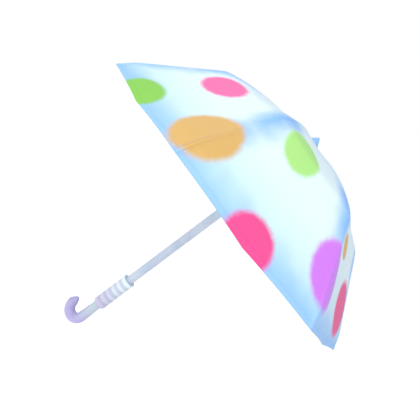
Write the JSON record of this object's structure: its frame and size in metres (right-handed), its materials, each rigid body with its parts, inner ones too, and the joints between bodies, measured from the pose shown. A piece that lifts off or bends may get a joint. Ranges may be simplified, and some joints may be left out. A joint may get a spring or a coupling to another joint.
{
  "type": "stick umbrella",
  "caption": "Open stick umbrella with a domed spotted fabric canopy, hinged ribs and stretchers on a sliding runner, ringed grip and crook handle.",
  "frame": {"origin": "middle of the hand grip, on the shaft's axis", "axes": "+Z along the shaft towards the tip, +X along rib 1 and the mouth of the crook"},
  "size_m": [0.7, 0.7, 0.7067],
  "materials": {
    "canopy_fabric": "pale ice-blue woven sheet with soft spots",
    "cap_blue": "satin sky blue",
    "shaft": "satin pale grey-blue lacquer",
    "crook": "satin lilac",
    "grip": "pearl, ringed",
    "white_plastic": "moulded, satin",
    "frame_steel": "bright zinc"
  },
  "bodies": {
    "root": {"shaft_tube": "shaft", "crook_handle": "crook", "grip_sleeve": "grip", "crown": "white_plastic", "crown_pins": "frame_steel", "canopy_top": "cap_blue", "ferrule_cap": "cap_blue", "shaft_pins": "frame_steel"},
    "rib_1": {"rib_inner_1": "frame_steel", "canopy_inner_1": "canopy_fabric"},
    "rib_1_outer": {"rib_outer_1": "frame_steel", "rib_tip_1": "white_plastic", "canopy_outer_1": "canopy_fabric"},
    "stretcher_1": {"stretcher_1": "frame_steel"},
    "rib_2": {"rib_inner_2": "frame_steel", "canopy_inner_2": "canopy_fabric"},
    "rib_2_outer": {"rib_outer_2": "frame_steel", "rib_tip_2": "white_plastic", "canopy_outer_2": "canopy_fabric"},
    "stretcher_2": {"stretcher_2": "frame_steel"},
    "rib_3": {"rib_inner_3": "frame_steel", "canopy_inner_3": "canopy_fabric"},
    "rib_3_outer": {"rib_outer_3": "frame_steel", "rib_tip_3": "white_plastic", "canopy_outer_3": "canopy_fabric"},
    "stretcher_3": {"stretcher_3": "frame_steel"},
    "rib_4": {"rib_inner_4": "frame_steel", "canopy_inner_4": "canopy_fabric"},
    "rib_4_outer": {"rib_outer_4": "frame_steel", "rib_tip_4": "white_plastic", "canopy_outer_4": "canopy_fabric"},
    "stretcher_4": {"stretcher_4": "frame_steel"},
    "rib_5": {"rib_inner_5": "frame_steel", "canopy_inner_5": "canopy_fabric"},
    "rib_5_outer": {"rib_outer_5": "frame_steel", "rib_tip_5": "white_plastic", "canopy_outer_5": "canopy_fabric"},
    "stretcher_5": {"stretcher_5": "frame_steel"},
    "rib_6": {"rib_inner_6": "frame_steel", "canopy_inner_6": "canopy_fabric"},
    "rib_6_outer": {"rib_outer_6": "frame_steel", "rib_tip_6": "white_plastic", "canopy_outer_6": "canopy_fabric"},
    "stretcher_6": {"stretcher_6": "frame_steel"},
    "rib_7": {"rib_inner_7": "frame_steel", "canopy_inner_7": "canopy_fabric"},
    "rib_7_outer": {"rib_outer_7": "frame_steel", "rib_tip_7": "white_plastic", "canopy_outer_7": "canopy_fabric"},
    "stretcher_7": {"stretcher_7": "frame_steel"},
    "rib_8": {"rib_inner_8": "frame_steel", "canopy_inner_8": "canopy_fabric"},
    "rib_8_outer": {"rib_outer_8": "frame_steel", "rib_tip_8": "white_plastic", "canopy_outer_8": "canopy_fabric"},
    "stretcher_8": {"stretcher_8": "frame_steel"},
    "runner": {"runner": "white_plastic", "runner_pins": "frame_steel"},
    "open_catch": {"open_catch": "frame_steel"},
    "closed_catch": {"closed_catch": "frame_steel"}
  },
  "joints": [
    {"name": "canopy_fold", "type": "hinge", "parent": "root", "child": "rib_1", "pos_m": [0.0165, 0, 0.5355], "axis": [0, 1, 0], "range_deg": [0, 69.6], "deforming": ["canopy_inner_1", "canopy_outer_1", "canopy_inner_2", "canopy_outer_2", "canopy_inner_3", "canopy_outer_3", "canopy_inner_4", "canopy_outer_4", "canopy_inner_5", "canopy_outer_5", "canopy_inner_6", "canopy_outer_6", "canopy_inner_7", "canopy_outer_7", "canopy_inner_8", "canopy_outer_8", "open_catch", "closed_catch"]},
    {"name": "rib_1_flex", "type": "hinge", "parent": "rib_1", "child": "rib_1_outer", "pos_m": [0.22768, 0, 0.46953], "axis": [0, 1, 0], "range_deg": [-36.29, 1]},
    {"name": "stretcher_1_knuckle", "type": "hinge", "parent": "rib_1", "child": "stretcher_1", "pos_m": [0.22768, 0, 0.46953], "axis": [0, 1, 0], "range_deg": [-140.2, 1]},
    {"name": "rib_2_fold", "type": "hinge", "parent": "root", "child": "rib_2", "pos_m": [0.01167, 0.01167, 0.5355], "axis": [-0.7071, 0.7071, 0], "range_deg": [-1, 70.6]},
    {"name": "rib_2_flex", "type": "hinge", "parent": "rib_2", "child": "rib_2_outer", "pos_m": [0.16099, 0.16099, 0.46953], "axis": [-0.7071, 0.7071, 0], "range_deg": [-36.29, 1]},
    {"name": "stretcher_2_knuckle", "type": "hinge", "parent": "rib_2", "child": "stretcher_2", "pos_m": [0.16099, 0.16099, 0.46953], "axis": [-0.7071, 0.7071, 0], "range_deg": [-140.2, 1]},
    {"name": "rib_3_fold", "type": "hinge", "parent": "root", "child": "rib_3", "pos_m": [0, 0.0165, 0.5355], "axis": [-1, 0, 0], "range_deg": [-1, 70.6]},
    {"name": "rib_3_flex", "type": "hinge", "parent": "rib_3", "child": "rib_3_outer", "pos_m": [0, 0.22768, 0.46953], "axis": [-1, 0, 0], "range_deg": [-36.29, 1]},
    {"name": "stretcher_3_knuckle", "type": "hinge", "parent": "rib_3", "child": "stretcher_3", "pos_m": [0, 0.22768, 0.46953], "axis": [-1, 0, 0], "range_deg": [-140.2, 1]},
    {"name": "rib_4_fold", "type": "hinge", "parent": "root", "child": "rib_4", "pos_m": [-0.01167, 0.01167, 0.5355], "axis": [-0.7071, -0.7071, 0], "range_deg": [-1, 70.6]},
    {"name": "rib_4_flex", "type": "hinge", "parent": "rib_4", "child": "rib_4_outer", "pos_m": [-0.16099, 0.16099, 0.46953], "axis": [-0.7071, -0.7071, 0], "range_deg": [-36.29, 1]},
    {"name": "stretcher_4_knuckle", "type": "hinge", "parent": "rib_4", "child": "stretcher_4", "pos_m": [-0.16099, 0.16099, 0.46953], "axis": [-0.7071, -0.7071, 0], "range_deg": [-140.2, 1]},
    {"name": "rib_5_fold", "type": "hinge", "parent": "root", "child": "rib_5", "pos_m": [-0.0165, 0, 0.5355], "axis": [0, -1, 0], "range_deg": [-1, 70.6]},
    {"name": "rib_5_flex", "type": "hinge", "parent": "rib_5", "child": "rib_5_outer", "pos_m": [-0.22768, 0, 0.46953], "axis": [0, -1, 0], "range_deg": [-36.29, 1]},
    {"name": "stretcher_5_knuckle", "type": "hinge", "parent": "rib_5", "child": "stretcher_5", "pos_m": [-0.22768, 0, 0.46953], "axis": [0, -1, 0], "range_deg": [-140.2, 1]},
    {"name": "rib_6_fold", "type": "hinge", "parent": "root", "child": "rib_6", "pos_m": [-0.01167, -0.01167, 0.5355], "axis": [0.7071, -0.7071, 0], "range_deg": [-1, 70.6]},
    {"name": "rib_6_flex", "type": "hinge", "parent": "rib_6", "child": "rib_6_outer", "pos_m": [-0.16099, -0.16099, 0.46953], "axis": [0.7071, -0.7071, 0], "range_deg": [-36.29, 1]},
    {"name": "stretcher_6_knuckle", "type": "hinge", "parent": "rib_6", "child": "stretcher_6", "pos_m": [-0.16099, -0.16099, 0.46953], "axis": [0.7071, -0.7071, 0], "range_deg": [-140.2, 1]},
    {"name": "rib_7_fold", "type": "hinge", "parent": "root", "child": "rib_7", "pos_m": [0, -0.0165, 0.5355], "axis": [1, 0, 0], "range_deg": [-1, 70.6]},
    {"name": "rib_7_flex", "type": "hinge", "parent": "rib_7", "child": "rib_7_outer", "pos_m": [0, -0.22768, 0.46953], "axis": [1, 0, 0], "range_deg": [-36.29, 1]},
    {"name": "stretcher_7_knuckle", "type": "hinge", "parent": "rib_7", "child": "stretcher_7", "pos_m": [0, -0.22768, 0.46953], "axis": [1, 0, 0], "range_deg": [-140.2, 1]},
    {"name": "rib_8_fold", "type": "hinge", "parent": "root", "child": "rib_8", "pos_m": [0.01167, -0.01167, 0.5355], "axis": [0.7071, 0.7071, 0], "range_deg": [-1, 70.6]},
    {"name": "rib_8_flex", "type": "hinge", "parent": "rib_8", "child": "rib_8_outer", "pos_m": [0.16099, -0.16099, 0.46953], "axis": [0.7071, 0.7071, 0], "range_deg": [-36.29, 1]},
    {"name": "stretcher_8_knuckle", "type": "hinge", "parent": "rib_8", "child": "stretcher_8", "pos_m": [0.16099, -0.16099, 0.46953], "axis": [0.7071, 0.7071, 0], "range_deg": [-140.2, 1]},
    {"name": "runner_pivot", "type": "hinge", "parent": "stretcher_1", "child": "runner", "pos_m": [0.0165, 0, 0.40356], "axis": [0, 1, 0], "range_deg": [-1, 70.6]},
    {"name": "open_catch_press", "type": "hinge", "parent": "root", "child": "open_catch", "pos_m": [0.00287, -0.00693, 0.33666], "axis": [0.9239, 0.3827, 0], "range_deg": [-9, 0], "stiffness_Nm_per_rad": 0.05, "springref_deg": 5.73},
    {"name": "closed_catch_press", "type": "hinge", "parent": "root", "child": "closed_catch", "pos_m": [0.00287, -0.00693, 0.05611], "axis": [0.9239, 0.3827, 0], "range_deg": [-9, 0], "stiffness_Nm_per_rad": 0.05, "springref_deg": 5.73}
  ],
  "couplings": [
    {"joint": "rib_1_flex", "follows": "canopy_fold", "ratio": -0.507},
    {"joint": "stretcher_1_knuckle", "follows": "canopy_fold", "ratio": -2},
    {"joint": "rib_2_fold", "follows": "canopy_fold", "ratio": 1},
    {"joint": "rib_2_flex", "follows": "canopy_fold", "ratio": -0.507},
    {"joint": "stretcher_2_knuckle", "follows": "canopy_fold", "ratio": -2},
    {"joint": "rib_3_fold", "follows": "canopy_fold", "ratio": 1},
    {"joint": "rib_3_flex", "follows": "canopy_fold", "ratio": -0.507},
    {"joint": "stretcher_3_knuckle", "follows": "canopy_fold", "ratio": -2},
    {"joint": "rib_4_fold", "follows": "canopy_fold", "ratio": 1},
    {"joint": "rib_4_flex", "follows": "canopy_fold", "ratio": -0.507},
    {"joint": "stretcher_4_knuckle", "follows": "canopy_fold", "ratio": -2},
    {"joint": "rib_5_fold", "follows": "canopy_fold", "ratio": 1},
    {"joint": "rib_5_flex", "follows": "canopy_fold", "ratio": -0.507},
    {"joint": "stretcher_5_knuckle", "follows": "canopy_fold", "ratio": -2},
    {"joint": "rib_6_fold", "follows": "canopy_fold", "ratio": 1},
    {"joint": "rib_6_flex", "follows": "canopy_fold", "ratio": -0.507},
    {"joint": "stretcher_6_knuckle", "follows": "canopy_fold", "ratio": -2},
    {"joint": "rib_7_fold", "follows": "canopy_fold", "ratio": 1},
    {"joint": "rib_7_flex", "follows": "canopy_fold", "ratio": -0.507},
    {"joint": "stretcher_7_knuckle", "follows": "canopy_fold", "ratio": -2},
    {"joint": "rib_8_fold", "follows": "canopy_fold", "ratio": 1},
    {"joint": "rib_8_flex", "follows": "canopy_fold", "ratio": -0.507},
    {"joint": "stretcher_8_knuckle", "follows": "canopy_fold", "ratio": -2},
    {"joint": "runner_pivot", "follows": "canopy_fold", "ratio": 1}
  ]
}
